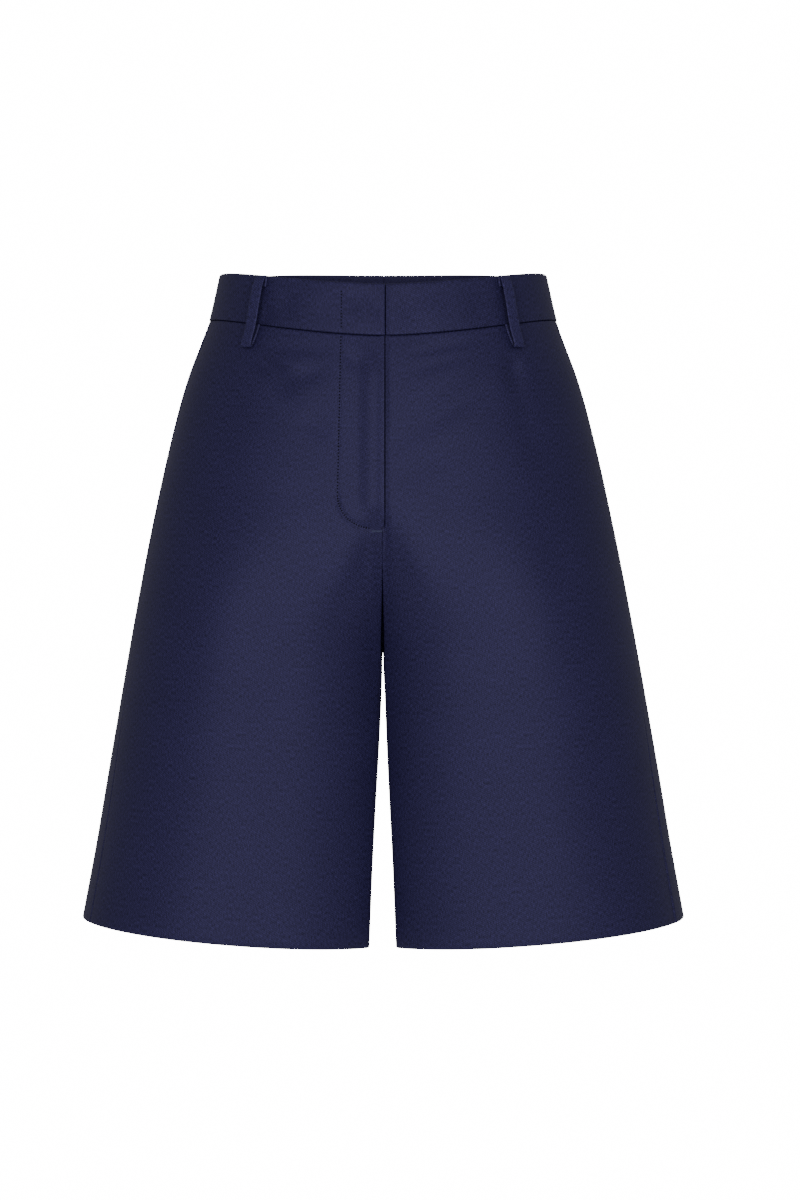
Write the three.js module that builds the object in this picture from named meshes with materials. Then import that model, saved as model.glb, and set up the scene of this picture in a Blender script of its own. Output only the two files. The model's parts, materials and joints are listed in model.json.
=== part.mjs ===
// Wide tailored bermuda shorts in firm navy twill, filled out as they are worn, with nobody in them.
// Millimetres. +Z is up, the front faces -Y, and +X is the wearer's left.
// The origin is the middle of the waist hollow, half way up the waistband at the side.
import * as THREE from "three";

// Driving sizes
const CLOTH = 1.2; // one layer of twill
const SEAM_GAP = 0.3; // between two pieces at a seam
const BAND_HEIGHT = 35.4; // upright height of the waistband
const BAND_CLOTH = 2.4; // the band is folded double over a stiffener
const BAND_PROUD = 0.5; // the band stands this far outside the panels
const TOP_DIP = 15.3; // the band's top is this much lower at centre front than at the side
const SEAM_DIP = 18.8; // and its lower seam this much
const BACK_RISE = 10.6; // both are this much higher at centre back
const FRONT_CURVE = 1.7; // exponents of the waistline's curve across the front and the back
const BACK_CURVE = 4;
const LEVEL_BELOW = -150; // below this the cloth's rows are level
const CROTCH = -272; // the lowest point of the crotch seam
const FRONT_TURNS_AT = -152; // where the centre front seam starts to turn in between the legs
const BACK_TURNS_AT = -125; // the same at the centre back
const TURN_STARTS = 1.5; // exponents: how softly the seam turns in, and comes level at the crotch
const TURN_ENDS = 2;
const FRONT_REACH = 0.8; // the front ends this far out on the inner half of its oval
const BACK_ROUNDS = -262; // here the back's seam has come round under, and runs forward to the front
const INSEAM_OPEN = 0.8; // below the crotch the front's edge stands off this much more than the back
const INSEAM_FADE = 30; // height over which it comes to that
const HEM = -475; // the hem at the side seam
const TILT_FROM = -172; // the rows start to tilt here
const HEM_TILT = 0.121; // the hem falls this much for each millimetre towards the inside leg
const HEM_ARCH = 0.00019; // and levels out by this much for each square millimetre
const HEM_FOLD = 35; // depth of the turned up hem

// The fly: the right front laps over the left one
const FLY_END = -180.5;
const FLY_TURN = 7; // height over which the lap comes to an end
const FLY_FADE = 16; // height over which the left front comes level again
const LAP_OVER = 1.5; // the right front's edge lies this far past the centre
const LAP_UNDER = 9; // the left front reaches this far under it
const BAND_LAP_OVER = 2;
const BAND_LAP_UNDER = 32;
const LAP_SLOPE = 16; // width over which the under side comes level

// In-seam pockets
const POCKET_TOP = -22;
const POCKET_END = -165;
const MOUTH_GAP = 1.1; // the pocket mouth stands open this far at its middle
const BAG_WIDTH = 128;
const BAG_BOTTOM = -238;
const BAG_CORNER = 45;
const BAG_CLOTH = 1;
const BAG_GAP = 1.2; // how far the bag hangs behind the front

// Belt loops
const LOOP_WIDTH = 9.6;
const LOOP_CLOTH = 1.3;

// The halves of the body
const FRONT = -1;
const BACK = 1;

const NAVY = new THREE.Color(0x2e2f4c);
const POCKETING = new THREE.Color(0x24263c);

// The form of the garment, a row for each level at the side of the body.
// side is half the width, front and back are depths from the centre, inner is half the gap between
// the legs, seam is how far the side seam lies in front of the widest point, and square is the
// exponent of the section, 2 for an ellipse.
const FORM = [
  { z: 18, side: 125.5, front: 88, back: 97, inner: 0.3, seam: 22, square: 2.2 },
  { z: -18, side: 133.8, front: 94, back: 104, inner: 0.3, seam: 22, square: 2.2 },
  { z: -36, side: 140.2, front: 97, back: 110, inner: 0.3, seam: 21, square: 2.25 },
  { z: -58, side: 148.7, front: 100, back: 116.5, inner: 0.3, seam: 20.3, square: 2.3 },
  { z: -82, side: 156.3, front: 102.5, back: 122.5, inner: 0.3, seam: 20, square: 2.3 },
  { z: -116, side: 165, front: 105.5, back: 129, inner: 0.3, seam: 21, square: 2.35 },
  { z: -162, side: 175.4, front: 108.5, back: 134, inner: 0.3, seam: 29, square: 2.4 },
  { z: -209, side: 184.9, front: 109, back: 133.5, inner: 0.3, seam: 40, square: 2.35 },
  { z: -278, side: 197.5, front: 107.5, back: 127, inner: 0.6, seam: 46, square: 2.25 },
  { z: -324, side: 205.2, front: 105.5, back: 121, inner: 2.4, seam: 47, square: 2.25 },
  { z: -370, side: 212.9, front: 104, back: 116, inner: 5.1, seam: 47, square: 2.2 },
  { z: -417, side: 220.5, front: 103, back: 112, inner: 8.2, seam: 46.5, square: 2.2 },
  { z: -476, side: 231.2, front: 102.5, back: 108, inner: 11.3, seam: 46, square: 2.2 },
];

const clamp = (value, low, high) => Math.min(high, Math.max(low, value));
const mix = (a, b, t) => a + (b - a) * t;
const ease = (t) => {
  const k = clamp(t, 0, 1);
  return k * k * (3 - 2 * k);
};

// One column of the form as a smooth function of height.
function column(key) {
  const slope = (i) => {
    const a = FORM[Math.max(i - 1, 0)];
    const b = FORM[Math.min(i + 1, FORM.length - 1)];
    return (b[key] - a[key]) / (b.z - a.z);
  };
  return (z) => {
    let i = 0;
    while (i < FORM.length - 2 && z < FORM[i + 1].z) i += 1;
    const a = FORM[i];
    const b = FORM[i + 1];
    const span = b.z - a.z;
    const t = clamp((z - a.z) / span, 0, 1);
    const ends = a[key] * (1 + 2 * t) * (1 - t) ** 2 + b[key] * t * t * (3 - 2 * t);
    const bends = slope(i) * t * (1 - t) ** 2 - slope(i + 1) * t * t * (1 - t);
    return ends + span * bends;
  };
}

const form = {};
for (const key of ["side", "front", "back", "inner", "seam", "square"]) form[key] = column(key);

// How far the rows have turned from one round body (0) to two round legs (1).
function turn(z, from, to) {
  const share = clamp((from - z) / (from - to), 0, 1);
  return 1 - (1 - share ** TURN_STARTS) ** TURN_ENDS;
}

// The section at one level: an oval for each half of the body. Above the crotch the oval is cut off
// by the centre plane, and below it each leg has an oval of its own.
function section(z) {
  const side = form.side(z);
  const depth = (form.front(z) + form.back(z)) / 2;
  const middle = (form.back(z) - form.front(z)) / 2;
  const square = form.square(z);
  const half = (sign, share, open) => {
    const end = share * form.inner(z) + open;
    const centre = (share * side + end) / (1 + share);
    return { sign, centre, radius: side - centre, start: Math.acos(-(share ** (square / 2))) };
  };
  const open = INSEAM_OPEN * ease((CROTCH - z) / INSEAM_FADE);
  const front = half(FRONT, FRONT_REACH * turn(z, FRONT_TURNS_AT, CROTCH), open);
  const back = half(BACK, turn(z, BACK_TURNS_AT, BACK_ROUNDS), 0);
  return { side, depth, middle, square, front, back };
}

// A point of the oval, from its widest point (angle 0) towards the centre of the body.
function ovalPoint(cut, half, angle) {
  const c = Math.cos(angle);
  const s = Math.sin(angle);
  const power = 2 / cut.square;
  const x = half.centre + half.radius * Math.sign(c) * Math.abs(c) ** power;
  const y = cut.middle + half.sign * cut.depth * Math.sign(s) * Math.abs(s) ** power;
  return new THREE.Vector2(x, y);
}

// The section from the centre front (or inside leg) round the side to the centre back, with lengths.
// Below the point where the back has come round it runs on forward, and from the crotch down it is
// closed, so that front and back meet at the inside leg seam.
const OVAL_STEPS = 90;
const RUN_STEPS = 10;
function outline(z) {
  const cut = section(z);
  const points = [];
  for (let i = 0; i <= OVAL_STEPS; i += 1)
    points.push(ovalPoint(cut, cut.front, cut.front.start * (1 - i / OVAL_STEPS)));
  for (let i = 1; i <= OVAL_STEPS; i += 1)
    points.push(ovalPoint(cut, cut.back, (cut.back.start * i) / OVAL_STEPS));
  const round = points[points.length - 1];
  const forward = ease((BACK_ROUNDS - z) / (BACK_ROUNDS - CROTCH));
  for (let i = 1; i <= RUN_STEPS; i += 1)
    points.push(round.clone().lerp(points[0], (forward * i) / RUN_STEPS));
  const lengths = [0];
  for (let i = 1; i < points.length; i += 1)
    lengths.push(lengths[i - 1] + points[i].distanceTo(points[i - 1]));
  return { z, cut, points, lengths, ovals: lengths[2 * OVAL_STEPS], closed: z <= CROTCH };
}

// A point of the outline by its length from the centre front. Past the centre, where the fronts lap,
// it runs on over the other side of the body.
function along(line, length) {
  if (length < 0) {
    const other = along(line, -length);
    return other.setX(-other.x);
  }
  const last = line.lengths.length - 1;
  let i = 1;
  while (i < last && line.lengths[i] < length) i += 1;
  const t = (length - line.lengths[i - 1]) / (line.lengths[i] - line.lengths[i - 1]);
  return line.points[i - 1].clone().lerp(line.points[i], t);
}

// The way the outline runs at a length.
function heading(line, length) {
  if (length < 0) {
    const other = heading(line, -length);
    return other.setY(-other.y);
  }
  const whole = line.lengths[line.lengths.length - 1];
  const onLine = (l) => along(line, line.closed ? (l + whole) % whole : clamp(l, 0, whole));
  const ahead = onLine(length + 2);
  const behind = onLine(length - 2);
  return new THREE.Vector3(ahead.x - behind.x, ahead.y - behind.y, 0);
}

// The length at which the side seam lies.
function seamLength(line) {
  const seamY = line.cut.middle - form.seam(line.z);
  let i = 1;
  while (line.points[i].x < line.cut.front.centre || line.points[i].y < seamY) i += 1;
  const t = (seamY - line.points[i - 1].y) / (line.points[i].y - line.points[i - 1].y);
  return mix(line.lengths[i - 1], line.lengths[i], t);
}

// How the waistline dips at the front and rises at the back, at a distance x from the centre.
function waistShift(z, x, side, isFront) {
  const across = clamp(Math.abs(x) / side, 0, 1);
  const lower = clamp(0.5 - z / BAND_HEIGHT, 0, 1);
  if (isFront) return -mix(TOP_DIP, SEAM_DIP, lower) * (1 - across ** FRONT_CURVE);
  return BACK_RISE * (1 - across ** BACK_CURVE);
}

// The real height of a point whose row meets the side at height z.
function height(z, x, side, isFront) {
  const waist = clamp((z - LEVEL_BELOW) / (-BAND_HEIGHT / 2 - LEVEL_BELOW), 0, 1);
  const hem = clamp((TILT_FROM - z) / (TILT_FROM - HEM), 0, 1);
  const inwards = side - x;
  const fall = HEM_TILT * inwards - HEM_ARCH * inwards ** 2;
  return z + waist * waistShift(z, x, side, isFront) - hem * fall;
}

// Levels of the cloth's rows, closer together where the crotch seam turns under.
function rowLevels() {
  const top = -BAND_HEIGHT / 2 - SEAM_GAP / 2;
  const levels = [top, -25, -38, -54, -74, -96, -118, -140, POCKET_END + 5, POCKET_END];
  levels.push(FLY_END + FLY_TURN, FLY_END, FLY_END - FLY_FADE / 2, FLY_END - FLY_FADE);
  const steps = 7;
  for (let i = 1; i <= steps; i += 1)
    levels.push(mix(CROTCH, FLY_END - FLY_FADE, (1 - i / steps) ** 1.4));
  levels.push(-284, -304, -330, -358, -386, -414);
  levels.push(HEM + HEM_FOLD + 1, HEM + HEM_FOLD, HEM + HEM_FOLD / 2, HEM);
  return levels;
}

// The lap at the fly: 1 while the fronts overlap, and 0 below the fly.
const lapAt = (z) => ease((z - FLY_END) / FLY_TURN);
// The left front lies lower than the right one beside the lap.
function lapDepth(z, length) {
  const upright = ease((z - (FLY_END - FLY_FADE)) / (FLY_FADE - FLY_TURN));
  return (CLOTH + 2 * SEAM_GAP) * upright * (1 - ease((length - LAP_OVER - 2) / LAP_SLOPE));
}

// The mouth of the pocket, open a little at its middle.
function mouthGap(z) {
  const t = (z - POCKET_END) / (POCKET_TOP - POCKET_END);
  return t > 0 && t < 1 ? MOUTH_GAP * Math.sin(Math.PI * t) : 0;
}

// Columns of the cloth's grid, as shares of a row.
const FRONT_COLUMNS = [0, 0.02, 0.045, 0.09, 0.16, 0.24, 0.33, 0.42, 0.52, 0.62, 0.72, 0.82, 0.91, 1];
const BACK_COLUMNS = Array.from({ length: 15 }, (_, i) => i / 14);
const RUN_COLUMNS = [0.25, 0.5, 0.75, 1]; // from just before the end of the back's oval
const RUN_MARGIN = 9;

// The lengths at which a panel's columns cross a row.
function columnLengths(line, isFront, overlap) {
  const seam = seamLength(line);
  if (isFront) {
    const from = mix(SEAM_GAP / 2, -overlap, lapAt(line.z));
    const to = seam - SEAM_GAP / 2 - mouthGap(line.z);
    return FRONT_COLUMNS.map((share) => mix(from, to, share));
  }
  const near = line.ovals - RUN_MARGIN;
  const end = line.lengths[line.lengths.length - 1] - SEAM_GAP / 2;
  const columns = BACK_COLUMNS.map((share) => mix(seam + SEAM_GAP / 2, near, share));
  return columns.concat(RUN_COLUMNS.map((share) => mix(near, end, share)));
}

// Outer points of a front or back panel, on the wearer's left. overlap is how far its centre edge
// passes the centre within the fly, and a panel that sinks lies deeper there.
function panelPoints(isFront, overlap, sinks) {
  return rowLevels().map((z) => {
    const line = outline(z);
    return columnLengths(line, isFront, overlap).map((length) => {
      const flat = along(line, length);
      if (length >= 0) flat.x = Math.max(flat.x, SEAM_GAP / 2);
      const sunk = sinks ? lapDepth(z, length) : 0;
      const inFront = flat.y < line.cut.middle;
      const point = new THREE.Vector3(flat.x, flat.y + sunk, height(z, flat.x, line.cut.side, inFront));
      return { point, heading: heading(line, length) };
    });
  });
}

// A grid of cloth moved out along its normals, or in where the distance is negative.
function moved(grid, distance) {
  const last = grid.length - 1;
  return grid.map((row, i) =>
    row.map(({ point, heading: across }, j) => {
      const below = grid[Math.min(i + 1, last)][j].point;
      const above = grid[Math.max(i - 1, 0)][j].point;
      const out = below.clone().sub(above).cross(across).normalize();
      return point.clone().addScaledVector(out, distance(i, j));
    }),
  );
}

// A closed wall between an outer and an inner grid of the same size.
function wall(outer, inner) {
  const rows = outer.length;
  const columns = outer[0].length;
  const position = [];
  const index = [];
  for (const grid of [outer, inner]) for (const row of grid) for (const p of row) position.push(...p);
  const at = (layer, i, j) => layer * rows * columns + i * columns + j;
  const quad = (a, b, c, d) => index.push(a, b, c, a, c, d);
  for (let i = 0; i < rows - 1; i += 1)
    for (let j = 0; j < columns - 1; j += 1) {
      quad(at(0, i, j), at(0, i + 1, j), at(0, i + 1, j + 1), at(0, i, j + 1));
      quad(at(1, i, j), at(1, i, j + 1), at(1, i + 1, j + 1), at(1, i + 1, j));
    }
  for (let j = 0; j < columns - 1; j += 1) {
    quad(at(0, 0, j), at(0, 0, j + 1), at(1, 0, j + 1), at(1, 0, j));
    quad(at(0, rows - 1, j + 1), at(0, rows - 1, j), at(1, rows - 1, j), at(1, rows - 1, j + 1));
  }
  for (let i = 0; i < rows - 1; i += 1) {
    const end = columns - 1;
    quad(at(0, i + 1, 0), at(0, i, 0), at(1, i, 0), at(1, i + 1, 0));
    quad(at(0, i, end), at(0, i + 1, end), at(1, i + 1, end), at(1, i, end));
  }
  const geometry = new THREE.BufferGeometry();
  geometry.setAttribute("position", new THREE.Float32BufferAttribute(position, 3));
  geometry.setIndex(index);
  geometry.computeVertexNormals();
  return geometry;
}

// The same piece on the wearer's right, with its faces turned round again.
function mirrored(geometry) {
  const copy = geometry.clone().scale(-1, 1, 1);
  const index = Array.from(copy.index.array);
  for (let i = 0; i < index.length; i += 3) [index[i + 1], index[i + 2]] = [index[i + 2], index[i + 1]];
  copy.setIndex(index);
  copy.computeVertexNormals();
  return copy;
}

// The wall of a panel is double where the hem is turned up.
function panel(isFront, overlap = 0, sinks = false) {
  const grid = panelPoints(isFront, overlap, sinks);
  const levels = rowLevels();
  const inward = (i) => (levels[i] <= HEM + HEM_FOLD ? -2 * CLOTH : -CLOTH);
  return wall(moved(grid, () => 0), moved(grid, inward));
}

// A point of the waist region by its angle from the side and its level, on the wearer's left.
function waistPoint(half, angle, z, out) {
  const cut = section(z);
  const spot = (a) => ovalPoint(cut, half === FRONT ? cut.front : cut.back, a);
  const flat = spot(angle);
  const run = spot(angle + 0.01).sub(spot(angle - 0.01)).normalize();
  const sideways = new THREE.Vector2(run.y, -run.x).multiplyScalar(half);
  return new THREE.Vector3(
    flat.x + sideways.x * out,
    flat.y + sideways.y * out,
    height(z, flat.x, cut.side, half === FRONT),
  );
}

// The section of the waistband, a row for each line from its lower edge to its rounded top.
const BAND_ROWS = [
  { z: -BAND_HEIGHT / 2 + SEAM_GAP / 2, outer: BAND_PROUD - 0.4, inner: -BAND_CLOTH + BAND_PROUD },
  { z: -BAND_HEIGHT / 2 + 1.2, outer: BAND_PROUD, inner: -BAND_CLOTH + BAND_PROUD },
  { z: 0, outer: BAND_PROUD, inner: -BAND_CLOTH + BAND_PROUD },
  { z: BAND_HEIGHT / 2 - 1.3, outer: BAND_PROUD, inner: -BAND_CLOTH + BAND_PROUD },
  { z: BAND_HEIGHT / 2 - 0.3, outer: BAND_PROUD - 0.4, inner: -BAND_CLOTH + BAND_PROUD + 0.4 },
  { z: BAND_HEIGHT / 2, outer: BAND_PROUD - 0.9, inner: -BAND_CLOTH + BAND_PROUD + 0.9 },
];
const BAND_STEPS = 13; // for each quarter of the body

// Half of the waistband, from past the centre front to the centre back.
function waistband(overlap, sinks) {
  const stations = [];
  const lapSteps = overlap > 10 ? 4 : 1;
  for (let i = 0; i < lapSteps; i += 1) {
    const past = mix(overlap, 0, i / lapSteps);
    const turned = Math.asin((past / form.side(0)) ** (form.square(0) / 2));
    stations.push({ half: FRONT, past, angle: Math.PI / 2 + turned });
  }
  for (let i = 0; i <= BAND_STEPS; i += 1)
    stations.push({ half: FRONT, angle: (Math.PI / 2) * (1 - i / BAND_STEPS) });
  for (let i = 1; i <= BAND_STEPS; i += 1)
    stations.push({ half: BACK, angle: (Math.PI / 2) * (i / BAND_STEPS) });
  const last = stations.length - 1;
  const grid = (face) =>
    BAND_ROWS.map((row) =>
      stations.map((station, i) => {
        const p = waistPoint(station.half, station.angle, row.z, row[face]);
        if (station.past) p.x = -station.past;
        if (i === last) p.x = SEAM_GAP / 2;
        const near = 1 - ease((p.x - BAND_LAP_OVER - 2) / LAP_SLOPE);
        if (sinks && station.half === FRONT) p.y += (BAND_CLOTH + 2 * SEAM_GAP) * near;
        return p;
      }),
    );
  return wall(grid("outer").reverse(), grid("inner").reverse());
}

// The path of a belt loop, seen from its side: out from the cloth, and up from the band's middle.
// It is caught in the band's lower seam, drops, folds up over the band and is tucked in at the top.
const LOOP_PATH = [
  { out: 1.5, up: 9.2 },
  { out: 1.5, up: 13.5 },
  { out: 2.3, up: 16.2 },
  { out: 3.4, up: 16.9 },
  { out: 4.5, up: 15.6 },
  { out: 5.7, up: 11 },
  { out: 6.5, up: 3 },
  { out: 6.7, up: -6 },
  { out: 6.4, up: -16 },
  { out: 5.6, up: -27 },
  { out: 4.5, up: -33.5 },
  { out: 3.1, up: -36.2 },
  { out: 1.8, up: -35 },
  { out: 1.15, up: -29.5 },
  { out: 1, up: -24 },
  { out: 1, up: -18.3 },
];
const LOOP_STEPS = 34;

// A belt loop whose middle lies at an angle from the side, on the wearer's left.
function beltLoop(half, angle) {
  const curve = new THREE.CatmullRomCurve3(
    LOOP_PATH.map((p) => new THREE.Vector3(p.out, p.up, 0)),
    false,
    "centripetal",
  );
  const middle = curve.getSpacedPoints(LOOP_STEPS);
  const face = (offset) =>
    middle.map((p, i) => {
      const t = middle[Math.min(i + 1, LOOP_STEPS)].clone().sub(middle[Math.max(i - 1, 0)]).normalize();
      return { out: p.x + t.y * offset, up: p.y - t.x * offset };
    });
  const base = waistPoint(half, angle, 0, 0);
  const tip = waistPoint(half, angle, 0, 1);
  const across = new THREE.Vector3().crossVectors(new THREE.Vector3(0, 0, 1), tip.sub(base));
  const grid = (points) =>
    points.map((p) => {
      const spine = waistPoint(half, angle, p.up, p.out);
      return [-0.5, 0.5].map((share) => spine.clone().addScaledVector(across, share * LOOP_WIDTH));
    });
  return wall(grid(face(-LOOP_CLOTH / 2)), grid(face(LOOP_CLOTH / 2)));
}

// The pocket bag hangs from the side seam, flat against the inside of the front.
function pocketBag() {
  const levels = [-20, -40, -62, -84, -106, -128, -150, -172, -193, -208, -219, -228, -235, BAG_BOTTOM];
  const grid = levels.map((z) => {
    const line = outline(z);
    const seam = seamLength(line);
    const drop = clamp((BAG_BOTTOM + BAG_CORNER - z) / BAG_CORNER, 0, 1);
    const inset = BAG_CORNER * (1 - Math.sqrt(1 - drop * drop));
    return Array.from({ length: 9 }, (_, j) => {
      const length = mix(seam - BAG_WIDTH + inset, seam - 1.5 - inset * 0.4, j / 8);
      const flat = along(line, length);
      const point = new THREE.Vector3(flat.x, flat.y, height(z, flat.x, line.cut.side, true));
      return { point, heading: heading(line, length) };
    });
  });
  const near = CLOTH + BAG_GAP;
  return wall(moved(grid, () => -near), moved(grid, () => -near - BAG_CLOTH));
}

const cloth = (color, roughness) => new THREE.MeshStandardMaterial({ color, roughness, metalness: 0 });

const shorts = new THREE.Group();
function add(name, geometry, material = cloth(NAVY, 0.82)) {
  const mesh = new THREE.Mesh(geometry, material);
  mesh.name = name;
  shorts.add(mesh);
}

add("front_left", panel(true, LAP_UNDER, true));
add("front_right", mirrored(panel(true, LAP_OVER, false)));
add("back_left", panel(false));
add("back_right", mirrored(panel(false)));
add("waistband_left", waistband(BAND_LAP_UNDER, true));
add("waistband_right", mirrored(waistband(BAND_LAP_OVER, false)));
add("pocket_bag_left", pocketBag(), cloth(POCKETING, 0.9));
add("pocket_bag_right", mirrored(pocketBag()), cloth(POCKETING, 0.9));

const FRONT_LOOP = THREE.MathUtils.degToRad(46.9);
const BACK_LOOP = THREE.MathUtils.degToRad(38);
add("belt_loop_front_left", beltLoop(FRONT, FRONT_LOOP));
add("belt_loop_front_right", mirrored(beltLoop(FRONT, FRONT_LOOP)));
add("belt_loop_back_left", beltLoop(BACK, BACK_LOOP));
add("belt_loop_back_right", mirrored(beltLoop(BACK, BACK_LOOP)));
add("belt_loop_centre_back", beltLoop(BACK, Math.PI / 2));

export default shorts;
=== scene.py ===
# %% [markdown]
# # Wide tailored bermuda shorts in firm navy twill
# The shorts hang as if somebody wore them, with nobody in them. Every cloth piece is a fine shell laid
# over the plain solid of the same name, with its folded edges, seams, stitches and soft creases.
# Sizes are in millimetres in the tables, because that is how a maker measures, and in metres in Blender.

# %% The frame
import json
import math

import bpy
import numpy as np
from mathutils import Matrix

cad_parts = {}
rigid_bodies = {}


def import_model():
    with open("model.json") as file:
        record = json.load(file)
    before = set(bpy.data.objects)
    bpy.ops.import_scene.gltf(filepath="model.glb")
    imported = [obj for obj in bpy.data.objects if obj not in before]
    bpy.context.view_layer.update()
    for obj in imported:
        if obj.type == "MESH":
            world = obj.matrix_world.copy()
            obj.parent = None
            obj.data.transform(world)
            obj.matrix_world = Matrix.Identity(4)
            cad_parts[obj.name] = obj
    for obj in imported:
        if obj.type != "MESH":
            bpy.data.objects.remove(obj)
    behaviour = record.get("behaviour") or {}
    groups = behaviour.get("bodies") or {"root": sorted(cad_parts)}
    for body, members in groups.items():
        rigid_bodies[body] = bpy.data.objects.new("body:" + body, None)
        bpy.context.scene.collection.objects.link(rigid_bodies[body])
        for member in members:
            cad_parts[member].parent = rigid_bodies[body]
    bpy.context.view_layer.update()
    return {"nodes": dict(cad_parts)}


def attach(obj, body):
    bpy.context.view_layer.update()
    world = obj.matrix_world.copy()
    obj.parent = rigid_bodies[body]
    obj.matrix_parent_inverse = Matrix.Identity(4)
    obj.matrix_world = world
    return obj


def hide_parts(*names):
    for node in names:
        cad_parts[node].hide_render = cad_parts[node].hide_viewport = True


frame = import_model()
MM = 0.001
FRONT, BACK = -1, 1
print("nodes:", len(frame["nodes"]))

# %% [markdown]
# ## The form that the cloth lies on
# Filled out shorts are one oval at the waist and two ovals below the crotch. A short table gives the
# oval at each level, and a smooth curve through the table gives it everywhere between. A sculpted mesh
# would do too, but a table can be read, measured and changed by a maker.

# %% The form, a row for each level
FORM_KEYS = ("side", "front", "back", "inner", "seam", "square")
FORM = (
    # level, half width, depth in front, depth behind, half the leg gap, side seam, squareness
    (18, (125.5, 88, 97, 0.3, 22, 2.2)),
    (-18, (133.8, 94, 104, 0.3, 22, 2.2)),
    (-36, (140.2, 97, 110, 0.3, 21, 2.25)),
    (-58, (148.7, 100, 116.5, 0.3, 20.3, 2.3)),
    (-82, (156.3, 102.5, 122.5, 0.3, 20, 2.3)),
    (-116, (165, 105.5, 129, 0.3, 21, 2.35)),
    (-162, (175.4, 108.5, 134, 0.3, 29, 2.4)),
    (-209, (184.9, 109, 133.5, 0.3, 40, 2.35)),
    (-278, (197.5, 107.5, 127, 0.6, 46, 2.25)),
    (-324, (205.2, 105.5, 121, 2.4, 47, 2.25)),
    (-370, (212.9, 104, 116, 5.1, 47, 2.2)),
    (-417, (220.5, 103, 112, 8.2, 46.5, 2.2)),
    (-476, (231.2, 102.5, 108, 11.3, 46, 2.2)),
)
BAND_HEIGHT = 35.4
SEAM_GAP = 0.3
CROTCH = -272
HEM = -475
FLY_END = -180.5
PRESS = 0.2  # sewn edges press together at a seam, so they pass its middle by this much
TURNS = {FRONT: (-152, CROTCH), BACK: (-125, -262)}  # where the centre seam turns in, from and to
FRONT_REACH = 0.8  # the inside leg seam lies this far out on the front's oval, so it shows in front
INSEAM_OPEN = 0.8  # below the crotch the front's edge draws this far away from the middle
INSEAM_FADE = 30  # over this height
print("levels in the table:", len(FORM))


# %% The form at any level
def form_at(z):
    """The form's numbers at one level, by a smooth curve through the table."""
    levels = [row[0] for row in FORM]
    i = 0
    while i < len(FORM) - 2 and z < levels[i + 1]:
        i += 1

    def slope(k):
        a, b = FORM[max(k - 1, 0)], FORM[min(k + 1, len(FORM) - 1)]
        return (np.array(b[1]) - np.array(a[1])) / (b[0] - a[0])

    span = levels[i + 1] - levels[i]
    t = min(max((z - levels[i]) / span, 0), 1)
    ends = np.array(FORM[i][1]) * (1 + 2 * t) * (1 - t) ** 2
    ends = ends + np.array(FORM[i + 1][1]) * t * t * (3 - 2 * t)
    bends = slope(i) * t * (1 - t) ** 2 - slope(i + 1) * t * t * (1 - t)
    return dict(zip(FORM_KEYS, ends + span * bends))


# %% The section at one level
def ease(t):
    t = np.clip(t, 0, 1)
    return t * t * (3 - 2 * t)


def turned(z, half):
    """How far the rows have turned from one body, 0, to two legs, 1."""
    first, last = TURNS[half]
    share = min(max((first - z) / (first - last), 0), 1)
    return 1 - (1 - share**1.5) ** 2


def section(z):
    f = form_at(z)
    cut = {"side": f["side"], "square": f["square"], "seam": f["seam"]}
    cut["depth"] = (f["front"] + f["back"]) / 2
    cut["middle"] = (f["back"] - f["front"]) / 2
    for half, reach, opening in ((FRONT, FRONT_REACH, INSEAM_OPEN), (BACK, 1, 0)):
        share = reach * turned(z, half)
        end = share * f["inner"] + opening * ease((CROTCH - z) / INSEAM_FADE)
        centre = (share * f["side"] + end) / (1 + share)
        start = math.acos(-(share ** (f["square"] / 2)))
        cut[half] = (centre, f["side"] - centre, start)
    return cut


def oval(cut, half, angle):
    """Points of the oval, from its widest point, angle 0, towards the centre of the body."""
    centre, radius, _ = cut[half]
    c, s = np.cos(angle), np.sin(angle)
    power = 2 / cut["square"]
    x = centre + radius * np.sign(c) * np.abs(c) ** power
    y = cut["middle"] + half * cut["depth"] * np.sign(s) * np.abs(s) ** power
    return x, y


OVAL_STEPS = 200
RUN_STEPS = 20
SEAM_DRAW = 6  # a seam closes over this height, and its edges are drawn to it over this length


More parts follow.
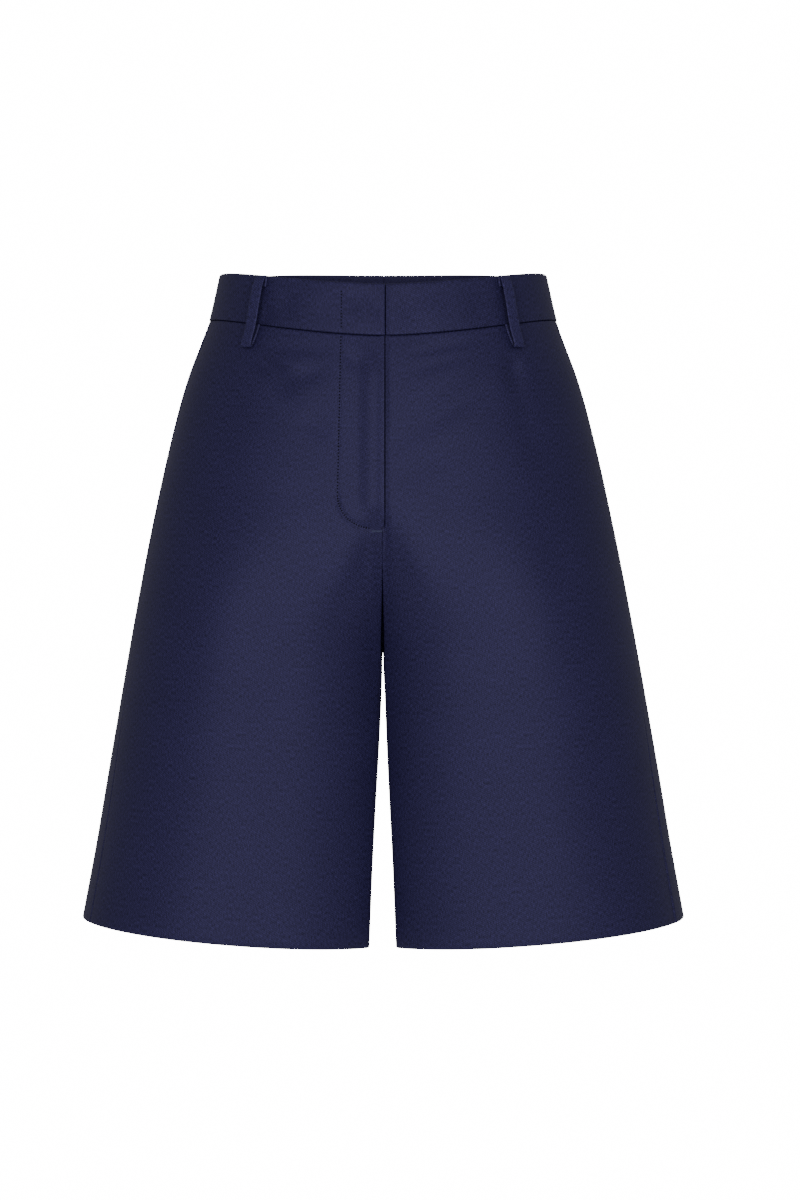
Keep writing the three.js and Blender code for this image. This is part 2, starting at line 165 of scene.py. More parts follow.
def outline(z):
    """The section from the centre front round the side to the centre back, with its lengths.

    Between the legs the back's edge runs on forward, until it meets the front's at the crotch.
    """
    cut = section(z)
    way = np.linspace(0, 1, OVAL_STEPS + 1)
    fx, fy = oval(cut, FRONT, cut[FRONT][2] * way[::-1])
    bx, by = oval(cut, BACK, cut[BACK][2] * way[1:])
    reached = ease((TURNS[BACK][1] - z) / (TURNS[BACK][1] - CROTCH))
    forward = reached * np.linspace(0, 1, RUN_STEPS + 1)[1:]
    rx, ry = bx[-1] + (fx[0] - bx[-1]) * forward, by[-1] + (fy[0] - by[-1]) * forward
    x, y = np.concatenate((fx, bx, rx)), np.concatenate((fy, by, ry))
    lengths = np.concatenate(([0], np.cumsum(np.hypot(np.diff(x), np.diff(y)))))
    closed_front = ease((FLY_END - 2 - z) / SEAM_DRAW) * (1 - ease((CROTCH + 3 - z) / SEAM_DRAW))
    closed_back = 1 - ease((TURNS[BACK][1] - 3 - z) / SEAM_DRAW)
    x = x - closed_front * (x[0] + PRESS) * np.exp(-((lengths / SEAM_DRAW) ** 2))
    x = x - closed_back * (x[-1] + PRESS) * np.exp(-(((lengths[-1] - lengths) / SEAM_DRAW) ** 2))
    seam_y = cut["middle"] - cut["seam"]
    i = int(np.argmax((x > cut[FRONT][0]) & (y > seam_y)))
    t = (seam_y - y[i - 1]) / (y[i] - y[i - 1])
    seam = lengths[i - 1] + t * (lengths[i] - lengths[i - 1])
    ovals = lengths[-1 - RUN_STEPS]
    return {"z": z, "cut": cut, "x": x, "y": y, "lengths": lengths, "seam": seam, "ovals": ovals}


# %% Heights and points of the cloth
WAIST_DIP = 15.3  # the waist's top edge lies lower at the centre front by this much
BAND_DIP = 3.5  # and the band's seam by this much more
BACK_RISE = 10.6  # at the centre back the waist lies higher
WAIST_ENDS = -150  # from this level down, rows no longer follow the waist's curve
HEM_STARTS = -172  # and from this one down they begin to fall towards the inside leg
HEM_FALL = (0.121, 0.00019)  # the fall for each millimetre from the side, and what is taken off again
BESIDE = 2  # directions in the cloth are measured between points this far to each side


def rise(z, x, side, y, middle):
    """The real height of points whose row meets the side at height z."""
    waist = min(max((z - WAIST_ENDS) / (-WAIST_ENDS - BAND_HEIGHT / 2), 0), 1)
    hem = min(max((HEM_STARTS - z) / (HEM_STARTS - HEM), 0), 1)
    share = np.clip(np.abs(x) / side, 0, 1)
    dip = WAIST_DIP + BAND_DIP * min(max(0.5 - z / BAND_HEIGHT, 0), 1)
    shift = np.where(y < middle, -dip * (1 - share**1.7), BACK_RISE * (1 - share**4))
    fall = HEM_FALL[0] * (side - x) - HEM_FALL[1] * (side - x) ** 2
    return z + waist * shift - hem * fall


def at_lengths(line, lengths):
    """Points of the cloth at lengths from the centre front.

    A length below 0 is past the centre. A leg's row is closed, so there it runs on round the leg.
    """
    closed = line["z"] <= CROTCH
    far = lengths % line["lengths"][-1] if closed else np.abs(lengths)
    x = np.interp(far, line["lengths"], line["x"])
    y = np.interp(far, line["lengths"], line["y"])
    if not closed:
        x = np.where(lengths < 0, -x, x)
    z = rise(line["z"], x, line["cut"]["side"], y, line["cut"]["middle"])
    return np.stack((x, y, z), axis=-1)


def cloth_row(z, spread):
    """One row of a panel: its points, the ways out of the cloth, and its lengths from the centre."""
    line = outline(z)
    lengths = spread(line)
    points = at_lengths(line, lengths)
    if z <= CROTCH:
        after, before = lengths + BESIDE, lengths - BESIDE
    else:
        far, whole = np.abs(lengths), line["lengths"][-1]
        after, before = np.minimum(far + BESIDE, whole), np.maximum(far - BESIDE, 0)
    across = at_lengths(line, after) - at_lengths(line, before)
    if z > CROTCH:
        across[lengths < 0] *= (1, -1, -1)
    below, above = outline(z - 1), outline(z + 1)
    down = at_lengths(below, spread(below)) - at_lengths(above, spread(above))
    out = np.cross(down, across)
    return points, out / np.linalg.norm(out, axis=1, keepdims=True), lengths


print("waist round the outside, mm:", round(2 * outline(0)["lengths"][-1]))
print("one leg's hem round, mm:", round(outline(HEM)["lengths"][-1]))

# %% [markdown]
# ## From a grid to a piece of cloth
# Each panel starts as Blender's own grid, so that its faces are even and it has a UV map. Its points
# are then put where the form says. The UV map is rewritten in metres of cloth, which makes it the flat
# pattern piece, so the weave runs straight on every panel. Solidify gives the cloth its thickness, and
# a tiny bevel rounds the cut edges, because a real folded edge is never sharp.

# %% Making a piece
SHARP, SMOOTH = 55, 45  # degrees: edges over the first are rounded, and over the second stay visible


def deselect():
    bpy.ops.object.select_all(action="DESELECT")


def grid_piece(name, points, flat):
    """A grid of cloth with these points, rows by columns, and this flat pattern, in metres."""
    rows, columns = points.shape[:2]
    deselect()
    bpy.ops.mesh.primitive_grid_add(x_subdivisions=columns - 1, y_subdivisions=rows - 1, size=1)
    piece = bpy.context.object
    piece.name = piece.data.name = name
    mesh = piece.data
    place = np.empty(len(mesh.vertices) * 3)
    mesh.vertices.foreach_get("co", place)
    place = place.reshape(-1, 3)
    column = np.rint((place[:, 0] + 0.5) * (columns - 1)).astype(int)
    row = np.rint((0.5 - place[:, 1]) * (rows - 1)).astype(int)
    mesh.vertices.foreach_set("co", (points[row, column] * MM).ravel())
    corner = np.empty(len(mesh.loops), dtype=int)
    mesh.loops.foreach_get("vertex_index", corner)
    pattern = flat[row[corner], column[corner]] * MM
    mesh.uv_layers[0].name = "pattern"
    mesh.uv_layers[0].data.foreach_set("uv", pattern.ravel())
    mesh.update()
    return piece


def thicken(piece, thickness, rounding=0.3):
    """Gives a shell its thickness, inwards, and rounds its edges."""
    solid = piece.modifiers.new("cloth", "SOLIDIFY")
    solid.thickness, solid.offset = thickness * MM, -1
    bevel = piece.modifiers.new("edge", "BEVEL")
    bevel.width, bevel.segments = rounding * MM, 2
    bevel.limit_method, bevel.angle_limit = "ANGLE", math.radians(SHARP)
    for name in ("cloth", "edge"):
        bpy.ops.object.modifier_apply(modifier=name)
    bpy.ops.object.shade_smooth_by_angle(angle=math.radians(SMOOTH))
    return piece


def side_of(points, flat, right):
    """The same piece for the wearer's right, mirrored with its columns turned round."""
    if not right:
        return points, flat
    return points[:, ::-1] * np.array((-1, 1, 1)), flat[:, ::-1] * np.array((-1, 1))


# %% [markdown]
# ## Creases and seams
# Firm twill creases little. The photo shows a few soft folds below the waistband, a dent along the fly,
# and cloth drawn in towards the crotch. Each is one row of a table: a line across the garment, how wide
# the fold is and how deep. A cloth simulation would find folds of its own, so these are listed one by
# one.

# %% Soft creases
# x and z of both ends as seen from the front, or from behind, then width and height, in millimetres.
CREASES = {
    "front_right": (
        (-104, -47, -72, -66, 7, -3.4),
        (-84, -62, -66, -84, 7, -2.2),
        (-74, -70, -44, -62, 8, -1.5),
        (-108, -42, -42, -48, 6, -1.3),
        (-60, -92, -38, -112, 9, -1.4),
        (-30, -46, -14, -64, 5, -0.9),
        (-6, -190, -34, -246, 11, -1.2),
        (-132, -120, -150, -290, 16, -0.8),
    ),
    "front_left": (
        (24, -50, 76, -38, 4, -1.0),
        (22, -63, 66, -50, 5, -0.8),
        (10, -118, 92, -60, 11, -2.0),
        (8, -146, 56, -116, 12, -1.2),
        (98, -50, 99, -72, 7, -2.8),
        (98, -60, 112, -120, 8, -1.2),
        (6, -190, 30, -240, 11, -1.2),
        (118, -90, 138, -260, 13, -0.8),
        (74, -300, 100, -440, 20, 0.7),
    ),
    "back_right": (
        (-12, -52, -70, -62, 8, -0.6),
        (-18, -160, -96, -226, 16, -1.0),
        (-14, -205, -80, -258, 11, -1.2),
        (-58, -300, -96, -440, 22, 0.9),
        (-128, -150, -146, -330, 16, -0.8),
    ),
    "back_left": (
        (10, -50, 62, -58, 7, -0.5),
        (16, -168, 84, -222, 15, -0.9),
        (12, -208, 92, -264, 12, -1.2),
        (66, -310, 112, -430, 20, 0.8),
        (130, -130, 152, -300, 15, -0.9),
    ),
}
# Each panel's slow waves start at another place, so that no two panels look alike
PHASES = {"front_right": 0.7, "front_left": 2.9, "back_right": 1.9, "back_left": 4.4}
print("creases:", {name: len(table) for name, table in CREASES.items()})


# %% What moves the cloth out and in
def crease_relief(table, points):
    """How far the creases move the cloth out, in millimetres, at each point."""
    x, z = points[..., 0], points[..., 2]
    relief = np.zeros(x.shape)
    for x1, z1, x2, z2, width, height in table:
        run = np.array((x2 - x1, z2 - z1))
        long = run @ run
        t = np.clip(((x - x1) * run[0] + (z - z1) * run[1]) / long, 0, 1)
        away = np.hypot(x - x1 - t * run[0], z - z1 - t * run[1])
        fade = 0.35 + 0.65 * np.sin(np.pi * t)
        relief += height * fade * np.exp(-((away / width) ** 2))
    return relief


def slow_waves(points, phase):
    """The cloth is never quite even: two long, low waves, different on each piece."""
    x, y, z = points[..., 0], points[..., 1], points[..., 2]
    round_it = np.arctan2(x, -y) * 110
    first = 0.35 * np.sin(round_it / 23 + z / 140 + phase)
    second = 0.25 * np.sin(round_it / 41 - z / 66 + 2.3 * phase)
    return first + second


def groove(distance, width, depth):
    return -depth * np.exp(-((distance / width) ** 2))


# %% [markdown]
# ## The fly
# The right front laps over the left one, and a J of stitches holds the zip behind it. The line of the J
# is worked out once, as seen from the front, so the cloth can sink along it and the stitches can follow.

# %% The J of the fly
J_TOP = -34
J_X = (-30.6, -32.9)
J_CORNER = -154
J_END = -8.5  # the bend stops this far before the centre, at the bar tack
J_STEP = 0.5


def fly_line():
    """Close points of the J as seen from the front, as x and z."""
    z = np.arange(J_TOP, J_CORNER, -J_STEP)
    t = (J_TOP - z) / (J_TOP - J_CORNER)
    straight = np.stack((J_X[0] + (J_X[1] - J_X[0]) * t, z), axis=1)
    turn = np.linspace(0, math.pi / 2, 90)
    wide, tall = J_END - J_X[1], J_CORNER - FLY_END - 1.2
    bend = np.stack((J_END - wide * np.cos(turn) ** 1.1, J_CORNER - tall * np.sin(turn) ** 0.9), axis=1)
    return np.vstack((straight, bend[1:]))


J_LINE = fly_line()
J_STRAIGHT = int((J_TOP - J_CORNER) / J_STEP)  # this many of its points lie on the straight part
print("the J's stitches, mm:", round(float(np.linalg.norm(np.diff(J_LINE, axis=0), axis=1).sum())))


def distance_to(line, points):
    """The distance from each point to a line of close points, as seen from the front."""
    flat = points[..., (0, 2)].reshape(-1, 2)
    nearest = np.full(len(flat), 1e9)
    for start in range(0, len(line), 8):
        part = line[start : start + 8]
        apart = np.hypot(flat[:, None, 0] - part[None, :, 0], flat[:, None, 1] - part[None, :, 1])
        nearest = np.minimum(nearest, apart.min(axis=1))
    return nearest.reshape(points.shape[:-1])


# %% [markdown]
# ## The levels of the cloth
# Rows are close together where something fine lies: at the band's seam, at the fly, round the turning
# crotch seam and over the folded hem. At the hem the cloth turns round its own edge and runs up inside
# as a second layer. Every sewn edge rolls in to its seam, so that the seam reads as a fine dark line,
# as on pressed cloth. A drawn line would look flat from the side.

# %% Levels and the folded hem
CLOTH = 1.1
HEM_FOLD = 35
TOP_ROLL = 1.6  # a panel's top edge rolls in by this much to the waistband's seam
SIDE_ROLL = 1.3  # and its side edges by this much
LEG_ROLL = 3.2  # the edges at the inside leg seam by this much
ROLL_ROWS = (0, 0.04, 0.15, 0.34, 0.6, 1, 1.6)  # where the rows of the top roll lie, in its radius
FINE_ENDS = -198  # the fine rows of the fly end here, and those of the turning crotch seam begin
LEG_ROWS = 4.4  # rows on the legs are this far apart, and above them they are finer, most near the J
ROWS = {"front_right": 1.7, "front_left": 3, "back_right": 3.2, "back_left": 3.2}


def levels(fine):
    """Levels from the band's seam to the hem, as a list of level and depth inside the outer face."""
    top = -BAND_HEIGHT / 2
    rolled = top - TOP_ROLL * np.array(ROLL_ROWS)
    upper = np.concatenate((rolled, np.arange(top - 4, FINE_ENDS, -fine)))
    turning = CROTCH + (FINE_ENDS - CROTCH) * np.linspace(1, 0, 26)[1:] ** 1.5
    leg = np.arange(CROTCH - 4, HEM + 3, -LEG_ROWS)
    outside = [(z, 0.0) for z in np.concatenate((upper, turning, leg))]
    radius = CLOTH + 0.15
    for angle in np.linspace(0, math.pi, 7):
        outside.append((HEM + radius - radius * math.sin(angle), radius - radius * math.cos(angle)))
    inside = [(z, 2 * radius) for z in np.linspace(HEM + 5, HEM + HEM_FOLD, 8)]
    return outside + inside


print("rows:", {name: len(levels(fine)) for name, fine in ROWS.items()})

# %% [markdown]
# ## The fronts
# Each front is one panel from the centre to the side seam. The left front slips under the right one, so
# it drops back beside the fly: a step, and then a soft slope that shades like a shadow. The pocket
# mouth is a slit in the side seam, where the front's edge is folded back and stands open by a
# millimetre. Both fronts get finer columns near the centre, the right one because the J of stitches
# sinks into it, and the left one where it drops away from the lap.

# %% A front's measures
LAP = {"front_right": 1.5, "front_left": 9}
GRAIN_X = (72, 121)
POCKET = (-165, -22)
MOUTH_OPEN = 1.1
NEAR_EDGE = 40  # the columns are fine up to this length
EDGE_COLUMNS = {
    # from the panel's own edge, and from the centre front
    "front_right": (0, 0.2, 0.5, 0.9, 1.5, 2.2),
    "front_left": (1.2, 1.5, 1.7, 1.9, 2.1, 2.3, 2.7, 3.4, 4.6, 6),
}
SIDE_COLUMNS = np.array((0, 0.25, 0.7, 1.4))  # from an edge that rolls in
HOLLOW = ((6.0, 17), (1.8, 6))  # depth and width of the cloth's hollow below the fly
HOLLOW_IN, HOLLOW_OUT = (-158, 44), (-256, 50)  # where it sets in and ends, and over what height
LAP_STEP = 2.6  # the left front lies this far behind the lap
LAP_SLOPE = 1.0  # and sinks this much more towards it
ZIP_BULGE = 2.9  # the zip pushes the lap out by this much
print("pocket mouth, mm:", POCKET[1] - POCKET[0])


# %% Where the columns of a front lie
def lap_share(z):
    return float(ease((z - FLY_END) / 7))


def inseam_edge(z):
    """Where an edge lies at the centre seam, and below the crotch at the inside leg seam."""
    return SEAM_GAP / 2 - (SEAM_GAP / 2 + PRESS) * float(ease((CROTCH - 2 - z) / SEAM_DRAW))


def front_spread(name):
    """The lengths of a front's columns at each level, from its centre edge to the side seam."""
    edge = np.array(EDGE_COLUMNS[name])

    def spread(line):
        z = line["z"]
        lap = lap_share(z)
        first = inseam_edge(z) * (1 - lap) - LAP[name] * lap
        t = (z - POCKET[0]) / (POCKET[1] - POCKET[0])
        mouth = (MOUTH_OPEN + 2 * PRESS) * math.sin(math.pi * t) if 0 < t < 1 else 0
        last = line["seam"] + PRESS - mouth
        if name == "front_right":
            start = (first + edge, np.linspace(first + 3, NEAR_EDGE, 39))
        else:
            start = (np.linspace(first, 0.9, 5), edge, np.linspace(8, NEAR_EDGE, 12))
        rest = NEAR_EDGE + (last - NEAR_EDGE) * np.linspace(0, 1, 46)[1:-1]
        return np.concatenate((*start, rest, last - SIDE_COLUMNS[::-1]))

    return spread


def rolled_in(distance, radius):
    """How deep the cloth lies at a distance from an edge that rolls in to its seam."""
    left = np.clip(1 - distance / np.maximum(radius, 0.01), 0, 1)
    return radius * (1 - np.sqrt(1 - left**2))


def panel_grid(spread, fine):
    """Base points, ways out, lengths, levels and depths of a whole panel on the wearer's left."""
    rows = [(*cloth_row(z, spread), z, depth) for z, depth in levels(fine)]
    points, out, lengths = (np.array([row[k] for row in rows]) for k in range(3))
    level, depth = (np.array([row[k] for row in rows])[:, None] + 0 * lengths for k in (3, 4))
    return points, out, lengths, level, depth


def grain_length(z, half):
    """The length at which the straight grain crosses a row: down the middle of the leg."""
    line = outline(z)
    x = GRAIN_X[0] + (GRAIN_X[1] - GRAIN_X[0]) * (z / HEM)
    part = slice(0, OVAL_STEPS + 1) if half == FRONT else slice(2 * OVAL_STEPS, OVAL_STEPS - 1, -1)
    return float(np.interp(x, line["x"][part], line["lengths"][part]))


def flat_pattern(half, lengths, level, depth):
    """The panel laid flat: lengths from the grain line, and levels with the hem's fold let down."""
    across = lengths - np.array([[grain_length(z, half)] for z in level[:, 0]])
    return np.stack((across, np.where(depth > 0, 2 * HEM - level, level)), axis=-1)


# %% The hollow, the J, the zip and the lap
def hollow(seen, level):
    """How far the cloth hangs back at the middle, below the fly."""
    back = sum(depth * np.exp(-((seen[..., 0] / width) ** 2)) for depth, width in HOLLOW)
    sets_in = ease((HOLLOW_IN[0] - level) / HOLLOW_IN[1])
    return back * sets_in * ease((level - HOLLOW_OUT[0]) / HOLLOW_OUT[1])


def fly_grooves(seen):
    """How the stitches of the J draw the cloth in, most of all round its curve."""
    away, z = distance_to(J_LINE, seen), seen[..., 2]
    curve = ease((J_CORNER + 8 - z) / 16) * (z > FLY_END - 6)
    return groove(away, 1.7, 0.35) + groove(away, 1.8, 0.8) * curve


def zip_bulge(seen, level):
    """How far the zip behind the lap pushes it out."""
    x = seen[..., 0]
    across = ease((x + 20) / 13) * (1 - 0.5 * ease((x + 6) / 7))
    return ZIP_BULGE * across * ease((level[0, 0] - 8 - level) / 30) * ease((level - FLY_END) / 24)


def behind_lap(lengths, level, upright):
    """How far the left front drops back beside the lap."""
    step = LAP_STEP * (1 - ease((lengths - 1.5) / 0.8)) * ease((level - FLY_END) / 6)
    return step + LAP_SLOPE * upright * (1 - ease((lengths - 2.2) / 4.5))


# %% Building the fronts
def build_front(name, right):
    points, out, lengths, level, depth = panel_grid(front_spread(name), ROWS[name])
    seen = points * np.array((-1 if right else 1, 1, 1))
    outer = depth == 0
    relief = crease_relief(CREASES[name], seen) + slow_waves(seen, PHASES[name])
    centre_seam = ease((FLY_END - 2 - level) / SEAM_DRAW)
    inwards = lengths - lengths[:, :1]
    relief *= ease((level[0, 0] - level) / 12) * (1 - centre_seam * (1 - ease(inwards / 14)))
    to_side = lengths[:, -1:] - lengths
    seam_edge = np.where((level < POCKET[0]) | (level > POCKET[1]), 1, 0.5)
    relief -= rolled_in(to_side, SIDE_ROLL) * seam_edge
    relief -= rolled_in(level[0, 0] - level, TOP_ROLL)
    relief -= rolled_in(inwards, 0.4 + (LEG_ROLL - 0.4) * ease((-200 - level) / 68)) * centre_seam
    backwards = hollow(seen, level)
    if right:
        relief += fly_grooves(seen)
        shallow = ease((lengths + LAP[name]) / 3) * 0.8 + 0.2
        relief *= np.where(level > FLY_END, shallow, 1)
        backwards -= zip_bulge(seen, level)
    else:
        upright = ease((level - (FLY_END - 16)) / 9)
        backwards += behind_lap(lengths, level, upright)
        relief *= ease((lengths - 1) / 8) * upright + (1 - upright)
    points = points + backwards[..., None] * np.array((0, 1, 0))
    points = points + out * (relief * np.where(outer, 1, 0.9) - depth)[..., None]
    points, flat = side_of(points, flat_pattern(FRONT, lengths, level, depth), right)
    piece = thicken(grid_piece(f"cloth_{name}", points, flat), CLOTH)
    print(name, "triangles:", sum(len(p.vertices) - 2 for p in piece.data.polygons))
    return piece


pieces = {}
for name in ("front_right", "front_left"):
    pieces[name] = build_front(name, name.endswith("right"))

# %% [markdown]
# ## The backs
# The backs are shaped by a dart each, which takes in the waist over the seat. A dart is sewn on the
# inside, so outside it is a fine line that fades into the cloth. The photo hides the back, so it gets
# what every pair like this has: the darts, the centre seam, and creases like those of the front.

# %% Building the backs
DART = {"top": (64, -9), "tip": (70, -118)}
DART_COLUMNS = np.array((82, 58))  # the columns are fine here, in lengths before the oval's end
RUN_MARGIN = 9  # this far before it, the columns begin to follow the edge that runs forward
NEAR_RUN = -18  # and this is the last column before them


def back_spread(line):
    first, last = line["seam"] - PRESS, line["lengths"][-1] - inseam_edge(line["z"])
    dart, near = line["ovals"] - DART_COLUMNS, line["ovals"] - RUN_MARGIN
    inner = [np.linspace(first + 2.2, dart[0], 40)[:-1], np.linspace(*dart, 25)[:-1]]
    inner = np.concatenate(inner + [np.linspace(dart[1], near, 15)])
    run = np.linspace(near, last - 2.2, 14)[1:]
    return np.concatenate((first + SIDE_COLUMNS, inner, run, last - SIDE_COLUMNS[::-1]))


def dart_relief(seen):
    """The dart's sewn line, with the cloth a little full below its tip."""
    x, z = np.abs(seen[..., 0]), seen[..., 2]
    (x1, z1), (x2, z2) = DART["top"], DART["tip"]
    t = np.clip((z - z1) / (z2 - z1), 0, 1)
    away = np.abs(x - (x1 + (x2 - x1) * t))
    line = groove(away, 1.4, 0.9) * (1 - t**3) * (z > z2)
    full = 0.8 * np.exp(-(((x - x2) / 26) ** 2) - ((z - z2 + 18) / 34) ** 2)
    return line + full


def build_back(name, right):
    points, out, lengths, level, depth = panel_grid(back_spread, ROWS[name])
    seen = points * np.array((-1 if right else 1, 1, 1))
    relief = crease_relief(CREASES[name], seen) + slow_waves(seen, PHASES[name])
    relief += dart_relief(seen)
    ovals = lengths[:, NEAR_RUN, None] + RUN_MARGIN
    relief *= ease((level[0, 0] - level) / 12) * ease((ovals - lengths) / 14)
    relief -= rolled_in(lengths - lengths[:, :1], SIDE_ROLL)
    end_roll = SIDE_ROLL * ease((level + 175) / 40) + LEG_ROLL * ease((TURNS[BACK][1] - level) / 10)
    relief -= rolled_in(lengths[:, -1:] - lengths, end_roll)
    relief -= rolled_in(level[0, 0] - level, TOP_ROLL)
    points = points + out * (relief * np.where(depth == 0, 1, 0.9) - depth)[..., None]
    points, flat = side_of(points, flat_pattern(BACK, lengths, level, depth), right)
    return thicken(grid_piece(f"cloth_{name}", points, flat), CLOTH)


for name in ("back_right", "back_left"):
    pieces[name] = build_back(name, name.endswith("right"))
print("panels:", ", ".join(pieces))

# %% [markdown]
# ## The waistband
# The band is cut twice as high as it shows, folded over at the top and stiffened inside, so it is
# thicker and smoother than the panels and stands a little proud of them. Its inner layer reaches down
# behind the panels, as it is sewn in real trousers. Its section is a closed loop, carried round the
# waist from past the centre front to the centre back, and drawn together at the lap so that the end
# looks turned in.

# %% The band's section and its way round the waist
BAND_THICK = 2.4
BAND_OUT = 0.5
BAND_LAP = {"waistband_right": 2, "waistband_left": 32}
INNER_LIP = ((-1, -2.6), (-2.2, -2.6), (-2.2, -2.1), (-0.8, -2.1), (0, -1.0))  # below the seam, inside
END_SHRINK = ((0, 0.35), (0.35, 0.8), (0.9, 1))  # the turned end's thickness, by the way in from it
BAND_SMOOTH = 50  # degrees
LAP_STATIONS = (0, 0.7, 1.3, 1.8, *np.arange(2.1, 3.2, 0.2), 3.5, 4.4, 6, 8, 10.5)


def band_section():
    """The band's loop, as level and distance out in half thicknesses. The inner layer hangs lower."""
    half, low, high = BAND_THICK / 2, -BAND_HEIGHT / 2 + SEAM_GAP / 2, BAND_HEIGHT / 2
    up = np.linspace(low + half, high - half, 14)
    turn = np.linspace(math.pi / 2, 0, 7)[:-1]
    loop = [(low + half * (1 - math.sin(a)), math.cos(a)) for a in turn] + [(z, 1.0) for z in up]
    for angle in np.linspace(0, math.pi, 9)[1:-1]:
        loop.append((high - half + half * math.sin(angle), math.cos(angle)))
    loop += [(z, -1.0) for z in up[::-1]]
    loop += [(low + z, share) for z, share in INNER_LIP]
    return np.array(loop + loop[:1])


def waist_point(half, angle, z, out):
    """A point of the waist by its angle from the side, moved out of the cloth, on the left."""
    cut = section(z)
    x, y = oval(cut, half, angle)
    x1, y1 = oval(cut, half, angle + 0.01)
    x2, y2 = oval(cut, half, angle - 0.01)
    run = np.array((x1 - x2, y1 - y2))
    run /= np.linalg.norm(run)
    height = rise(z, x, cut["side"], half * 1e3, cut["middle"])
    return np.array((x + run[1] * half * out, y - run[0] * half * out, float(height)))


def band_stations(lap):
    """Angles round the waist from the lap to the centre back, with the shrinking of the turned end."""
    waist = form_at(0)

    def beyond(past):
        return math.pi / 2 + math.asin((past / waist["side"]) ** (waist["square"] / 2))

    ends = [(FRONT, beyond(lap - inwards), inwards - lap, full) for inwards, full in END_SHRINK]
    over = [(FRONT, beyond(past), -past, 1) for past in np.arange(lap - 2, 0.4, -2.2)]
    near = [(FRONT, math.pi - beyond(x), None, 1) for x in LAP_STATIONS]
    front = near + [(FRONT, a, None, 1) for a in np.linspace(math.pi - beyond(13), 0, 60)]
    back = [(BACK, a, None, 1) for a in np.linspace(0, math.pi / 2, 62)[1:]]
    return ends + over + front + back


print("points round the band's section:", len(band_section()))

# %% The band's creases and its ends
BAND_CREASES = (
    # distance from the centre, level, width, height in the band, depth
    (-11, 11, 2.6, 5, -1.0),
    (-8, 5, 2.6, 5, -1.2),
    (-4.5, -1, 2.4, 5, -0.9),
    (-23, 9, 3.4, 5, -1.0),
    (-19, 3, 3.4, 5, -1.2),
    (-15, -3, 3.0, 5, -0.7),
    (-16, -4, 4, 10, 0.8),
    (-31, 0, 1.1, 60, -0.2),
    (-52, 5, 10, 8, 0.5),
    (-85, -11, 6, 8, -1.9),
    (-72, -2, 7, 8, -1.1),
    (17, 3, 5, 12, -0.9),
    (36, -4, 9, 9, 0.6),
    (72, 2, 10, 12, -0.8),
)


def band_crease(x, z):
    """How far the band's creases move it out."""
    out = 0
    for x0, z0, width, tall, deep in BAND_CREASES:
        out += deep * math.exp(-(((x - x0) / width) ** 2) - ((z - z0) / tall) ** 2)
    return out


def join_band():
    """Welds the band's loop and closes its ends."""
    bpy.ops.object.mode_set(mode="EDIT")
    bpy.ops.mesh.select_all(action="SELECT")
    bpy.ops.mesh.remove_doubles(threshold=1e-6)
    bpy.ops.mesh.select_all(action="DESELECT")
    bpy.ops.mesh.select_non_manifold()
    bpy.ops.mesh.fill_holes(sides=0)
    bpy.ops.mesh.select_all(action="SELECT")
    bpy.ops.mesh.normals_make_consistent(inside=False)
    bpy.ops.object.mode_set(mode="OBJECT")
    bpy.ops.object.shade_smooth_by_angle(angle=math.radians(BAND_SMOOTH))


# %% Building the band
def build_band(name, right):
    section_loop, stations = band_section(), band_stations(BAND_LAP[name])
    sign = -1 if right else 1
    points = np.zeros((len(section_loop), len(stations), 3))
    flat = np.zeros((len(section_loop), len(stations), 2))
    run = 0.0
    for j, (half, angle, past, full) in enumerate(stations):
        middle = waist_point(half, angle, 0, 0)
        run += 0 if j == 0 else float(np.linalg.norm(middle - before))
        before = middle
        for i, (z, share) in enumerate(section_loop):
            out = BAND_OUT - BAND_THICK / 2 * (1 - share * full)
            if half == FRONT and share > 0:
                out += band_crease(sign * middle[0], z)
            point = waist_point(half, angle, z, out)
            if past is not None:
                point[0] = past
            if j == len(stations) - 1:
                point[0] = SEAM_GAP / 2
            if not right and half == FRONT:
                point[1] += BAND_THICK * (1 - ease((point[0] - 2) / 0.7))
                point[1] += LAP_SLOPE * (1 - ease((point[0] - 2.2) / 4.5))
            points[i, j] = point
            flat[i, j] = (run, z if i < len(section_loop) / 2 else BAND_HEIGHT - z)
    points, flat = side_of(points, flat, right)
    piece = grid_piece(f"cloth_{name}", points[::-1], flat[::-1])
    join_band()
    return piece, run


band_run = {}
for name in ("waistband_right", "waistband_left"):
    pieces[name], band_run[name] = build_band(name, name.endswith("right"))
print("half bands, mm:", {name: round(run) for name, run in band_run.items()})

# %% [markdown]
# ## The belt loops
# A loop is a strip folded to a third of its width. It is caught in the band's lower seam, drops below
# it, turns up over the band and is folded under at the top, so from the side it is a long, thin hook
# that stands off the band. Its edges are turned in, so the strip is a little thicker beside them, and
# rounds off at the very edge.

